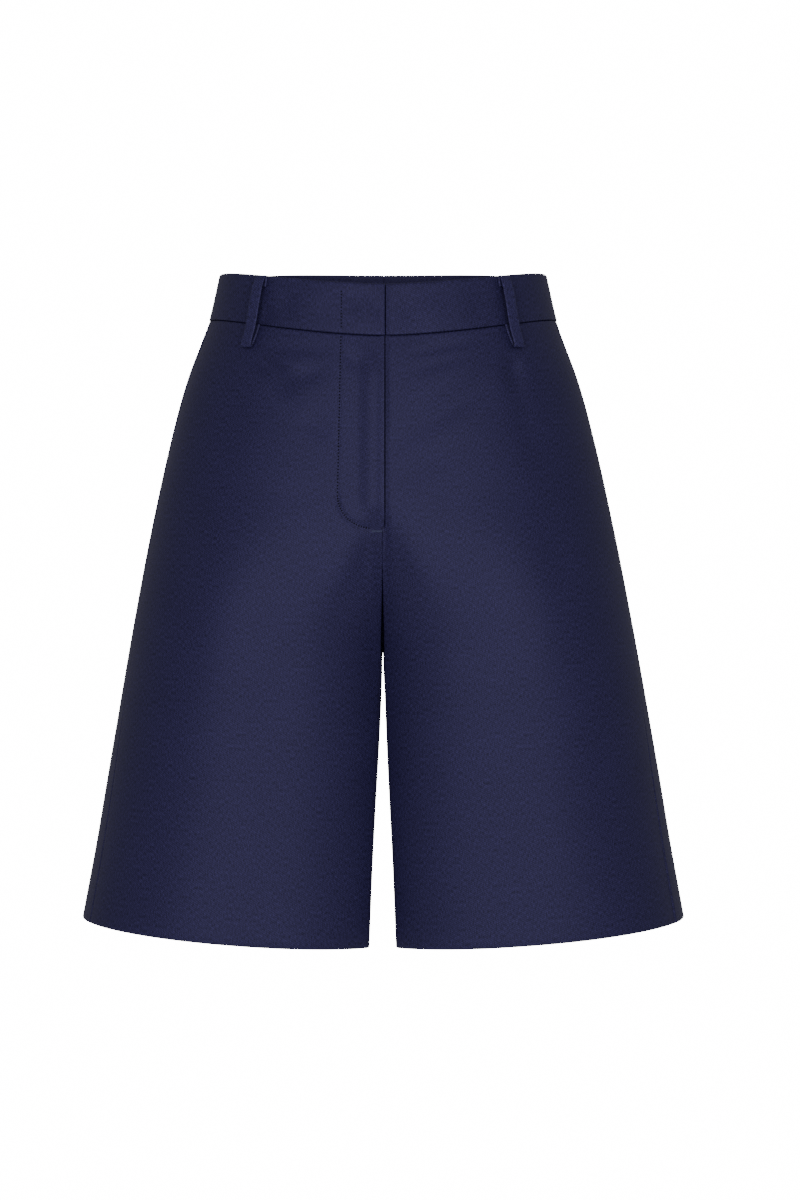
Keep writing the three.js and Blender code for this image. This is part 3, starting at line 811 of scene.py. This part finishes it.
# %% Building a belt loop
LOOP_PATH = (
    # out from the cloth, and up from the band's middle
    (1.5, 9.2),
    (1.5, 13.5),
    (2.3, 16.2),
    (3.4, 16.9),
    (4.5, 15.6),
    (5.7, 11),
    (6.5, 3),
    (6.7, -6),
    (6.4, -16),
    (5.6, -27),
    (4.5, -33.5),
    (3.1, -36.2),
    (1.8, -35),
    (1.15, -29.5),
    (1, -24),
    (1, -18.3),
)
LOOP_WIDTH = 9.6
LOOP_CLOTH = 1.3
LOOP_ACROSS = np.array((-0.5, -0.45, -0.36, -0.2, 0, 0.2, 0.36, 0.45, 0.5))  # in shares of the width
LOOP_CROWN = (-0.55, -0.1, 0.12, 0, 0.05, 0, 0.12, -0.1, -0.55)  # and how far each stands out
LOOPS = {
    # half of the waist, degrees from the side, the wearer's right
    "belt_loop_front_left": (FRONT, 46.9, False),
    "belt_loop_front_right": (FRONT, 46.9, True),
    "belt_loop_back_left": (BACK, 38, False),
    "belt_loop_back_right": (BACK, 38, True),
    "belt_loop_centre_back": (BACK, 90, False),
}


def smooth_path(path, steps):
    """Even points on a smooth curve through a short path."""
    path = np.array(path, dtype=float)
    padded = np.vstack((2 * path[0] - path[1], path, 2 * path[-1] - path[-2]))
    curve = []
    for a, b, c, d in zip(padded, padded[1:], padded[2:], padded[3:]):
        for t in np.linspace(0, 1, 12, endpoint=False):
            tail = (2 * a - 5 * b + 4 * c - d) * t**2 + (3 * b - a - 3 * c + d) * t**3
            curve.append(0.5 * (2 * b + (c - a) * t + tail))
    curve = np.array(curve + [path[-1]])
    run = np.concatenate(([0], np.cumsum(np.linalg.norm(np.diff(curve, axis=0), axis=1))))
    even = np.linspace(0, run[-1], steps)
    return np.stack([np.interp(even, run, curve[:, k]) for k in (0, 1)], axis=1), run[-1]


def build_loop(name, half, degrees, right):
    path, length = smooth_path(LOOP_PATH, 64)
    tangent = np.gradient(path, axis=0)
    tangent /= np.linalg.norm(tangent, axis=1, keepdims=True)
    angle = math.radians(degrees)
    base, tip = waist_point(half, angle, 0, 0), waist_point(half, angle, 0, 1)
    across = np.cross((0, 0, 1), tip - base)
    points = np.zeros((len(path), len(LOOP_ACROSS), 3))
    flat = np.zeros((len(path), len(LOOP_ACROSS), 2))
    for i, (out, up) in enumerate(path):
        for j, (share, crown) in enumerate(zip(LOOP_ACROSS, LOOP_CROWN)):
            lift = LOOP_CLOTH / 2 + crown
            outwards = out - tangent[i, 1] * lift
            upwards = up + tangent[i, 0] * lift
            spot = waist_point(half, angle, upwards, outwards)
            points[i, j] = spot + across * share * LOOP_WIDTH
            flat[i, j] = (share * LOOP_WIDTH, -length * i / len(path))
    points, flat = side_of(points, flat, right)
    return thicken(grid_piece(f"cloth_{name}", points, flat), LOOP_CLOTH, 0.25), length


for name, (half, degrees, right) in LOOPS.items():
    pieces[name], loop_length = build_loop(name, half, degrees, right)
print("a loop's strip, mm:", round(loop_length, 1))

# %% [markdown]
# ## The pocket bags
# Behind each pocket mouth hangs a flat bag of lining. It shows only from above and from below, so it
# is one plain shell just inside the front, with a rounded lower corner.

# %% Building the pocket bags
BAG_LEVELS = np.concatenate((np.arange(-20, -196, -4.0), np.arange(-196, -238.5, -2.5), [-238]))
BAG_WIDE = 128
BAG_CORNER = 45  # the corner's radius
BAG_BEHIND = 4.6  # the bag hangs this far inside the front's outer face
BAG_CLOTH = 0.8


def bag_spread(line):
    drop = min(max((BAG_CORNER + BAG_LEVELS[-1] - line["z"]) / BAG_CORNER, 0), 1)
    inset = BAG_CORNER * (1 - math.sqrt(1 - drop * drop))
    return np.linspace(line["seam"] - BAG_WIDE + inset, line["seam"] - 1.5 - inset * 0.4, 34)


def build_bag(name, right):
    rows = [cloth_row(z, bag_spread) for z in BAG_LEVELS]
    points, out, lengths = (np.array([row[k] for row in rows]) for k in range(3))
    flat = np.stack((lengths, BAG_LEVELS[:, None] + np.zeros(lengths.shape)), axis=-1)
    wave = 0.25 * np.sin(lengths / 9 + BAG_LEVELS[:, None] / 31)
    points = points + out * (wave - 0.25 - BAG_BEHIND)[..., None]
    points, flat = side_of(points, flat, right)
    return thicken(grid_piece(f"cloth_{name}", points, flat), BAG_CLOTH, 0.2)


for name in ("pocket_bag_left", "pocket_bag_right"):
    pieces[name] = build_bag(name, name.endswith("right"))
print("cloth pieces:", len(pieces))

# %% [markdown]
# ## Stitches
# A machine stitch is a short, plump bit of thread that dips into the cloth at both ends. One is made
# from a cylinder, and is copied along a line. Each line is laid on the cloth that was built above, by
# looking straight in from the front, so that the thread sits in its own groove.

# %% One stitch, copied along a line
STITCH_SHOWS = 0.55  # a stitch shows for this share of its pitch, and the rest is under the cloth
STITCH_TAPER = 0.6  # its ends are pulled this thin
STITCH_DIPS = 0.55  # and sink by this share of the thread's thickness
EYE = -0.3  # the front is looked at from here, in metres


def one_stitch(length, thick):
    """The points and faces of a stitch along x, in millimetres, with its ends bent down."""
    deselect()
    lying = (0, math.pi / 2, 0)
    bpy.ops.mesh.primitive_cylinder_add(vertices=6, radius=thick / 2, depth=length, rotation=lying)
    stitch = bpy.context.object
    bpy.ops.object.transform_apply(location=False, rotation=True, scale=False)
    bpy.ops.object.mode_set(mode="EDIT")
    for quarter in (0.25, -0.25):
        bpy.ops.mesh.select_all(action="SELECT")
        bpy.ops.mesh.bisect(plane_co=(length * quarter, 0, 0), plane_no=(1, 0, 0))
    bpy.ops.object.mode_set(mode="OBJECT")
    points = np.array([v.co[:] for v in stitch.data.vertices])
    faces = [tuple(p.vertices) for p in stitch.data.polygons]
    ends = np.abs(points[:, 0]) > length * 0.4
    points[ends] *= (1, STITCH_TAPER, STITCH_TAPER)
    points[ends, 2] -= thick * STITCH_DIPS
    bpy.data.objects.remove(stitch, do_unlink=True)
    return points, faces


def lay_stitches(name, spots, ways, outs, length, thick):
    """A piece made of one stitch at each spot, running along its way and standing out of the cloth."""
    shape, faces = one_stitch(length, thick)
    points, polygons = [], []
    for spot, way, out in zip(spots, ways, outs):
        way = way / np.linalg.norm(way)
        side = np.cross(out, way)
        side /= np.linalg.norm(side)
        axes = np.stack((way, side, np.cross(way, side)))
        polygons += [tuple(k + len(points) * len(shape) for k in face) for face in faces]
        points.append(spot + shape @ axes)
    mesh = bpy.data.meshes.new(name)
    mesh.from_pydata((np.vstack(points) * MM).tolist(), [], polygons)
    piece = bpy.data.objects.new(name, mesh)
    bpy.context.collection.objects.link(piece)
    deselect()
    piece.select_set(True)
    bpy.context.view_layer.objects.active = piece
    bpy.ops.object.shade_smooth()
    return piece


def on_cloth(piece, line, lift):
    """Looks in from the front along a line of x and z, and gives spots on the cloth and ways out."""
    spots, outs = [], []
    for x, z in line:
        hit, place, normal, _ = piece.ray_cast((x * MM, EYE, z * MM), (0, 1, 0))
        if hit:
            spots.append(np.array(place) / MM + np.array(normal) * lift)
            outs.append(np.array(normal))
    return np.array(spots), np.array(outs)


def stitched(name, piece, line, pitch, thick, lift):
    """Stitches of one pitch along a line on a piece."""
    run = np.concatenate(([0], np.cumsum(np.linalg.norm(np.diff(line, axis=0), axis=1))))
    middle = np.arange(pitch / 2, run[-1], pitch)
    even = np.stack([np.interp(middle, run, line[:, k]) for k in (0, 1)], axis=1)
    spots, outs = on_cloth(piece, even, lift)
    ways = np.gradient(spots, axis=0)
    return lay_stitches(name, spots, ways, outs, pitch * STITCH_SHOWS, thick)


# %% The fly's J and the band's fixing
BAND_STITCHES = np.stack((np.full(40, -30.4), np.linspace(-31, -3, 40)), axis=1)
front, band = pieces["front_right"], pieces["waistband_right"]
threads = [
    stitched("stitches_fly", front, J_LINE[:J_STRAIGHT], pitch=2.4, thick=1.0, lift=0.05),
    stitched("stitches_fly_curve", front, J_LINE[J_STRAIGHT:], pitch=1.9, thick=1.3, lift=0),
    stitched("stitches_band", band, BAND_STITCHES, pitch=2.4, thick=0.8, lift=0.1),
]
print("lines of stitches:", len(threads))

# %% [markdown]
# ### Bar tacks
# Where a seam is pulled, at the end of the fly and below each pocket mouth, a machine packs short
# threads side by side across it. The pocket's are placed from the side seam, so that they sit on it.

# %% The bar tacks
TACK_THICK, TACK_LIFT = 0.5, 0.12
FLY_TACK = ((-7.6, -181.4), (-0.4, -181.6))
POCKET_TACK = np.array((1, 4.4))  # it runs between these distances in front of the side seam


def bar_tack(name, piece, first, last, count, wide):
    """A bar tack: short threads packed side by side across a line, which stop a seam from tearing."""
    spots, outs = on_cloth(piece, np.linspace(first, last, count), TACK_LIFT)
    run = spots[-1] - spots[0]
    ways = [np.cross(out, run) for out in outs]
    return lay_stitches(name, spots, ways, outs, wide, TACK_THICK)


threads.append(bar_tack("tack_fly", front, *FLY_TACK, count=16, wide=1.9))
mouth_end = outline(POCKET[0] - 1)
(x1, _, z1), (x2, _, z2) = at_lengths(mouth_end, mouth_end["seam"] - POCKET_TACK)
threads.append(bar_tack("tack_pocket_right", front, (-x1, z1), (-x2, z2), count=6, wide=1.6))
threads.append(bar_tack("tack_pocket_left", pieces["front_left"], (x1, z1), (x2, z2), count=6, wide=1.6))
print("stitched pieces:", len(threads))

# %% [markdown]
# ## Finishes
# A finish is a set of nodes. One small function adds a node with its settings and links, and a few
# shorter ones name what is used often, so that each material reads as a list of what the cloth is made
# of. The nodes could be drawn by hand in the editor, but a list can be read, copied and changed.

# %% A node with settings and links
def linear(hex_colour):
    """An sRGB colour such as "#2e2f4c", as Blender's linear numbers."""
    parts = [int(hex_colour[i : i + 2], 16) / 255 for i in (1, 3, 5)]
    return tuple(p / 12.92 if p <= 0.04045 else ((p + 0.055) / 1.055) ** 2.4 for p in parts) + (1,)


def finish(name):
    """A new material, and its tree of nodes with nothing in it yet."""
    material = bpy.data.materials.new(name)
    material.use_nodes = True
    material.node_tree.nodes.clear()
    return material, material.node_tree


def node(tree, kind, links=None, inputs=None, **settings):
    """Adds a node, sets it, and links its inputs from other nodes' outputs."""
    new = tree.nodes.new(kind)
    for key, value in settings.items():
        setattr(new, key, value)
    for key, value in (inputs or {}).items():
        new.inputs[key].default_value = value
    for key, source in (links or {}).items():
        tree.links.new(source, new.inputs[key])
    return new


def noise(tree, where, scale, detail, roughness):
    """A soft random pattern round a half."""
    sizes = {"Scale": scale, "Detail": detail, "Roughness": roughness}
    return node(tree, "ShaderNodeTexNoise", {"Vector": where}, sizes).outputs["Fac"]


def span(tree, value, found, wanted):
    """The value drawn out from the range where it is found to the one that is wanted."""
    ranges = dict(zip(("From Min", "From Max", "To Min", "To Max"), (*found, *wanted)))
    return node(tree, "ShaderNodeMapRange", {"Value": value}, ranges).outputs["Result"]


def between(tree, share, first, second):
    """A colour that goes from the first to the second as the share goes from 0 to 1."""
    ends = {"A": first, "B": second}
    return node(tree, "ShaderNodeMix", {"Factor": share}, ends, data_type="RGBA").outputs["Result"]


def together(tree, first, second, operation):
    """Two numbers added or multiplied at every point."""
    return node(tree, "ShaderNodeMath", {0: first, 1: second}, operation=operation).outputs["Value"]


# %% [markdown]
# ### Twill
# Twill is woven so that its ribs climb diagonally, here one every 1.3 mm. From a step away the ribs melt
# into a fine, speckled grain, with thicker slubs of yarn, faint clouds of dye and a little sheen at
# grazing angles. The pattern is drawn on the flat pattern piece, in millimetres, so the ribs keep their
# real size on every panel. A picture of cloth would do too, but it would have to be joined at its edges.

# %% Piece-dyed navy twill
TWILL_RIB = 1.3  # millimetres from one rib to the next
CLOTH_NAVY = "#2a264b"
LOOP_NAVY_PAINTED_LIGHTER = "#302c54"  # the cloth's navy painted lighter, as painted light on the belt loops
LINING_NAVY = "#20223a"
LINING_RIB = 0.35
TWILL_LEAN = -62  # degrees
RIB_SHADE, RIB_LIGHT = 0.7, 1.3  # the colour is painted darker between ribs and lighter on them, as painted shade and light
YARN_SHADE, YARN_LIGHT = 0.03, 2.07  # and it differs still more at random from yarn to yarn
DYE_SHADE, DYE_LIGHT = 0.95, 1.05  # the dye itself clouds a little over a hand's width
GRAIN_RANGE, CLOUD_RANGE = (0.72, 1.28), (0.3, 0.7)  # where most of the noise's numbers lie
SHEEN_BLUE = (0.62, 0.66, 1, 1)
GLOSS_BLUE = (0.62, 0.58, 1, 1)


def shaded(colour, share):
    return tuple(c * share for c in linear(colour)[:3]) + (1,)


def twill_material(name, colour, rib, sheen):
    material, tree = finish(name)
    pattern = node(tree, "ShaderNodeUVMap", uv_map="pattern").outputs["UV"]
    scaled = node(tree, "ShaderNodeVectorMath", {0: pattern}, {1: (1000,) * 3}, operation="MULTIPLY")
    millimetres = scaled.outputs["Vector"]
    leaning = {"Rotation": (0, 0, math.radians(TWILL_LEAN))}
    diagonal = node(tree, "ShaderNodeMapping", {"Vector": millimetres}, leaning).outputs["Vector"]
    ribs = node(
        tree,
        "ShaderNodeTexWave",
        {"Vector": diagonal},
        {"Scale": 0.314 / rib, "Distortion": 1.4, "Detail": 2, "Detail Scale": 1.6},
        wave_type="BANDS",
        bands_direction="X",
    ).outputs["Fac"]
    drawn = {"Scale": (1.5, 0.5, 1)}
    along_yarn = node(tree, "ShaderNodeMapping", {"Vector": millimetres}, drawn).outputs["Vector"]
    speckle = noise(tree, millimetres, scale=2.1, detail=3, roughness=0.75)
    slubs = noise(tree, along_yarn, scale=0.8, detail=3, roughness=0.6)
    clouds = noise(tree, millimetres, scale=0.025, detail=3, roughness=0.55)
    grain = together(tree, speckle, slubs, "ADD")
    yarns = span(tree, grain, GRAIN_RANGE, (YARN_SHADE, YARN_LIGHT))
    dye = span(tree, clouds, CLOUD_RANGE, (DYE_SHADE, DYE_LIGHT))
    shade = together(tree, yarns, dye, "MULTIPLY")
    # Painted shade between the ribs and painted light on them, mixed by the ribs' wave; the yarns' and
    # dye's own random tones are multiplied in after.
    tint = between(tree, ribs, shaded(colour, RIB_SHADE), shaded(colour, RIB_LIGHT))
    links = {0: tint, "Scale": shade}
    dyed = node(tree, "ShaderNodeVectorMath", links, operation="SCALE").outputs["Vector"]
    relief = together(tree, ribs, speckle, "ADD")
    bump = node(tree, "ShaderNodeBump", {"Height": relief}, {"Strength": 0.35, "Distance": 0.00012})
    shader = node(
        tree,
        "ShaderNodeBsdfPrincipled",
        {"Base Color": dyed, "Normal": bump.outputs["Normal"]},
        {
            "Roughness": 0.52,
            "Specular IOR Level": 0.42,
            "Specular Tint": GLOSS_BLUE,
            "Sheen Weight": sheen,
            "Sheen Roughness": 0.45,
            "Sheen Tint": SHEEN_BLUE,
        },
    )
    node(tree, "ShaderNodeOutputMaterial", {"Surface": shader.outputs["BSDF"]})
    return material


twill = twill_material("navy cotton twill, piece dyed", CLOTH_NAVY, TWILL_RIB, 0.02)
# The belt loops get a copy of the twill with its colour painted lighter, as painted light on them.
twill_painted_lighter = twill_material("navy cotton twill, painted lighter for the loops", LOOP_NAVY_PAINTED_LIGHTER, TWILL_RIB, 0.02)
lining = twill_material("navy pocket lining, plain", LINING_NAVY, LINING_RIB, 0.03)
print("finishes of cloth:", ", ".join(f.name.replace(",", "") for f in (twill, twill_painted_lighter, lining)))

# %% [markdown]
# ### Thread
# The stitches sink into the cloth, and their navy is painted near black as painted shade for the small
# shadows they lie in, so they look darker and duller than the twill round them. Only the bar tack at the
# end of the fly stands out, in a blue grey that catches the light. The twist of the thread is a fine
# wave on Object coordinates, because the stitches have no pattern piece.

# %% Navy sewing thread
# Navy thread painted near black: painted shade for the shadows the stitches sit in.
THREAD_NAVY_PAINTED_SHADE = ("#08080e", "#101018")
TACK_BLUE = ("#34354e", "#62648c")


def thread_material(name, dark, light):
    material, tree = finish(name)
    place = node(tree, "ShaderNodeTexCoord").outputs["Object"]
    waves = {"Scale": 900, "Distortion": 3}
    twist = node(tree, "ShaderNodeTexWave", {"Vector": place}, waves, bands_direction="DIAGONAL")
    twist = twist.outputs["Fac"]
    colour = between(tree, twist, linear(dark), linear(light))
    bump = node(tree, "ShaderNodeBump", {"Height": twist}, {"Strength": 0.4, "Distance": 0.00005})
    shader = node(
        tree,
        "ShaderNodeBsdfPrincipled",
        {"Base Color": colour, "Normal": bump.outputs["Normal"]},
        {"Roughness": 0.7, "Specular IOR Level": 0.15},
    )
    node(tree, "ShaderNodeOutputMaterial", {"Surface": shader.outputs["BSDF"]})
    return material


thread = thread_material("navy polyester thread, painted dark as in shade", *THREAD_NAVY_PAINTED_SHADE)
tack_thread = thread_material("blue grey bar tack thread, twisted", *TACK_BLUE)
other_cloth = {"pocket_bag": lining, "belt_loop": twill_painted_lighter}
for name, piece in pieces.items():
    cloth = next((other_cloth[key] for key in other_cloth if name.startswith(key)), twill)
    piece.data.materials.append(cloth)
# The stitches take the thread painted dark as shade; the fly's bar tack takes its own blue grey.
for piece in threads:
    piece.data.materials.append(tack_thread if piece.name == "tack_fly" else thread)

# %% [markdown]
# ## Putting every piece on the shorts' body
# Every cloth piece and line of stitches rides on the shorts' one body, and each cloth piece stands for
# the plain solid of its name, which is hidden.


for name, piece in pieces.items():
    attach(piece, "root")
    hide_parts(name)
for piece in threads:
    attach(piece, "root")
print("pieces on the body:", len(pieces) + len(threads))

# %% [markdown]
# ## The room
# The photo is a shop picture on plain white. A pale floor lies a metre below the waist, where a wearer
# would stand, and the light is broad and soft: a large panel on each side of the camera, which draws
# the long highlights down the legs, and a room that fills the rest. The room gives little light, but
# looks white where it is seen straight, as the white wall of such a picture is lit on its own.

# %% Floor
FLOOR = -1.03
FLOOR_RADIUS = 1.5
FLOOR_WHITE = ("#f6f6f6", "#ffffff")


def floor_material():
    material = bpy.data.materials.new("pale studio floor, matt paint")
    material.use_nodes = True
    tree = material.node_tree
    shader = tree.nodes["Principled BSDF"]
    place = node(tree, "ShaderNodeTexCoord").outputs["Object"]
    speck = noise(tree, place, scale=40, detail=3, roughness=0.5)
    colour = between(tree, speck, *map(linear, FLOOR_WHITE))
    tree.links.new(colour, shader.inputs["Base Color"])
    shader.inputs["Roughness"].default_value = 0.9
    return material


deselect()
below = (0, 0, FLOOR)
bpy.ops.mesh.primitive_circle_add(vertices=96, radius=FLOOR_RADIUS, fill_type="NGON", location=below)
floor = bpy.context.object
floor.name = "floor"
floor.data.materials.append(floor_material())
print("floor, metres below the waist:", -FLOOR)

# %% Lights
ROOM_LIGHT = 0.25
ROOM_SEEN = 16.0
PANEL_TURN, PANEL_RAISED = 17, 6  # degrees from the front, and above it
PANEL_AWAY = 2.6
PANEL_SIZE = (0.9, 1.7)
PANEL_WATTS = 14.3
PANEL_LOOKS_AT = np.array((0, 0, -0.22))


def panel_light(name, azimuth):
    """A soft panel that looks at the middle of the shorts. Azimuth 0 is in front of them."""
    a, e = math.radians(azimuth), math.radians(PANEL_RAISED)
    way = np.array((math.sin(a) * math.cos(e), -math.cos(a) * math.cos(e), math.sin(e)))
    bpy.ops.object.light_add(type="AREA", location=tuple(PANEL_LOOKS_AT + way * PANEL_AWAY))
    light = bpy.context.object
    light.name = name
    light.data.shape = "RECTANGLE"
    light.data.size, light.data.size_y = PANEL_SIZE
    light.data.energy = PANEL_WATTS
    light.rotation_euler = (math.pi / 2 - e, 0, a)


panel_light("soft_panel_left", -PANEL_TURN)
panel_light("soft_panel_right", PANEL_TURN)
world = bpy.data.worlds.new("white room")
bpy.context.scene.world = world
world.use_nodes = True
room = world.node_tree.nodes["Background"]
seen_straight = node(world.node_tree, "ShaderNodeLightPath").outputs["Is Camera Ray"]
strength = span(world.node_tree, seen_straight, (0, 1), (ROOM_LIGHT, ROOM_SEEN))
room.inputs["Color"].default_value = (1, 1, 1, 1)
world.node_tree.links.new(strength, room.inputs["Strength"])
print("panels of light, watts:", 2 * [PANEL_WATTS])

# %% [markdown]
# ## The camera
# The camera stands 2.3 metres in front of the shorts at the height of the thigh, level, a little to the
# wearer's left of the middle, as the photo's perspective shows at the rims of the waist and the hems.

# %% Camera
PHOTO_HEIGHT = 1200
FOCAL_LENGTH = 2987  # in pixels of the photo
SENSOR = 36
CAMERA_AT = (0.013, -2.3, -0.232)
bpy.ops.object.camera_add(location=CAMERA_AT, rotation=(math.pi / 2, 0, 0))
camera = bpy.context.object
camera.data.sensor_width = SENSOR
camera.data.lens = SENSOR * FOCAL_LENGTH / PHOTO_HEIGHT
bpy.context.scene.camera = camera
print("lens, mm:", round(camera.data.lens, 1))
